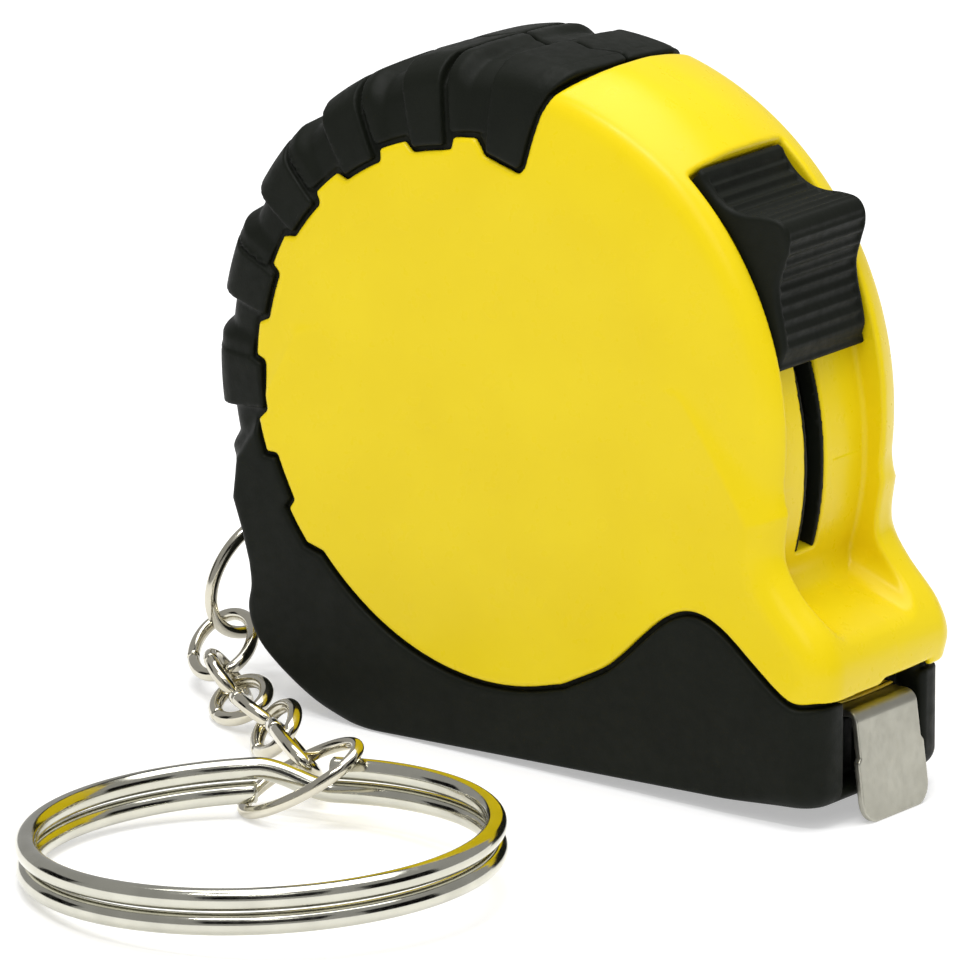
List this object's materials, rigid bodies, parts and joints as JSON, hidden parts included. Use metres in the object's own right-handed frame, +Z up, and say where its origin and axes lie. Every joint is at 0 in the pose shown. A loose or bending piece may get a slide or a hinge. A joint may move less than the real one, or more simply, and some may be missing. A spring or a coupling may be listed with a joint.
{
  "type": "key chain tape measure",
  "caption": "Round pocket tape measure with a hooked blade, a thumb lock on its rim, black tread bumpers and a chain that ends in a split key ring.",
  "frame": {"origin": "on the flat underside, below the reel's axis and at mid thickness", "axes": "+X out of the mouth along the blade, +Z up, +Y along the reel's axis away from the label side"},
  "size_m": [0.05, 0.0601, 0.0457],
  "materials": {
    "yellow_plastic": "satin",
    "black_plastic": "matte",
    "nickel": "plated",
    "ring_steel": "polished",
    "screw_steel": "zinc plated",
    "rivet_steel": "plain",
    "spring_steel": "blued",
    "blade_enamel": "enamel",
    "nylon": "moulded",
    "rubber": "matte"
  },
  "bodies": {
    "case": {"near_shell": "yellow_plastic", "far_shell": "yellow_plastic", "near_bumper": "black_plastic", "far_bumper": "black_plastic", "reel_spindle": "screw_steel", "case_screw_centre": "screw_steel", "case_screw_front": "screw_steel", "case_screw_rear": "screw_steel"},
    "lock": {"lock_button": "black_plastic", "lock_slider": "black_plastic", "brake_pad": "rubber"},
    "reel": {"reel_drum": "nylon", "drum_cap": "nylon", "tape_coil": "blade_enamel", "power_spring": "spring_steel"},
    "tape": {"tape_blade": "blade_enamel", "end_hook": "nickel", "hook_rivet_left": "rivet_steel", "hook_rivet_right": "rivet_steel"},
    "case_jump_ring_body": {"case_jump_ring": "nickel"},
    "chain_ring_body": {"chain_ring": "nickel"},
    "curb_link_1_body": {"curb_link_1": "nickel"},
    "curb_link_2_body": {"curb_link_2": "nickel"},
    "curb_link_3_body": {"curb_link_3": "nickel"},
    "curb_link_4_body": {"curb_link_4": "nickel"},
    "curb_link_5_body": {"curb_link_5": "nickel"},
    "key_jump_ring_body": {"key_jump_ring": "nickel"},
    "split_ring_body": {"split_ring": "ring_steel"}
  },
  "joints": [
    {"name": "lock_slide", "type": "hinge", "parent": "case", "child": "lock", "pos_m": [0, 0, 0.0201], "axis": [0, 1, 0], "range_deg": [0, 30]},
    {"name": "tape_pull", "type": "slide", "parent": "case", "child": "tape", "axis": [1, 0, 0], "range_m": [0, 1], "stiffness_N_per_m": 0.8, "springref_m": -1},
    {"name": "reel_turn", "type": "hinge", "parent": "case", "child": "reel", "pos_m": [0, 0, 0.02225], "axis": [0, 1, 0], "range_deg": [-3800, 0]},
    {"name": "case_jump_ring_swing", "type": "hinge", "parent": "case", "child": "case_jump_ring_body", "pos_m": [-0.0202, 0, 0.0099], "axis": [0, 1, 0], "range_deg": [-2, 35]},
    {"name": "chain_ring_swing", "type": "hinge", "parent": "case_jump_ring_body", "child": "chain_ring_body", "pos_m": [-0.02287, -0.00414, 0.0038], "axis": [0.2609, 0.7153, -0.6483], "range_deg": [-6, 20]},
    {"name": "curb_link_1_swing", "type": "hinge", "parent": "chain_ring_body", "child": "curb_link_1_body", "pos_m": [-0.01938, -0.00846, 0.00239], "axis": [-0.7606, -0.4674, -0.4505], "range_deg": [-6, 20]},
    {"name": "curb_link_2_swing", "type": "hinge", "parent": "curb_link_1_body", "child": "curb_link_2_body", "pos_m": [-0.01708, -0.0106, 0.00176], "axis": [0.3383, 0.5814, -0.74], "range_deg": [-6, 20]},
    {"name": "curb_link_3_swing", "type": "hinge", "parent": "curb_link_2_body", "child": "curb_link_3_body", "pos_m": [-0.01411, -0.01263, 0.00167], "axis": [-0.49, -0.6934, -0.5283], "range_deg": [-6, 20]},
    {"name": "curb_link_4_swing", "type": "hinge", "parent": "curb_link_3_body", "child": "curb_link_4_body", "pos_m": [-0.01102, -0.01509, 0.00191], "axis": [0.5108, 0.5797, -0.6349], "range_deg": [-6, 20]},
    {"name": "curb_link_5_swing", "type": "hinge", "parent": "curb_link_4_body", "child": "curb_link_5_body", "pos_m": [-0.00736, -0.01856, 0.00238], "axis": [-0.3807, -0.5063, -0.7738], "range_deg": [-6, 20]},
    {"name": "key_jump_ring_swing", "type": "hinge", "parent": "curb_link_5_body", "child": "key_jump_ring_body", "pos_m": [-0.00188, -0.02385, 0.00276], "axis": [0.4818, 0.4449, -0.7549], "range_deg": [-6, 20]},
    {"name": "split_ring_swing", "type": "hinge", "parent": "key_jump_ring_body", "child": "split_ring_body", "pos_m": [-0.00163, -0.02543, 0.00225], "axis": [-0.881, -0.473, 0], "range_deg": [-4, 40]}
  ],
  "couplings": [
    {"joint": "reel_turn", "follows": "tape_pull", "rad_per_m": -65}
  ]
}
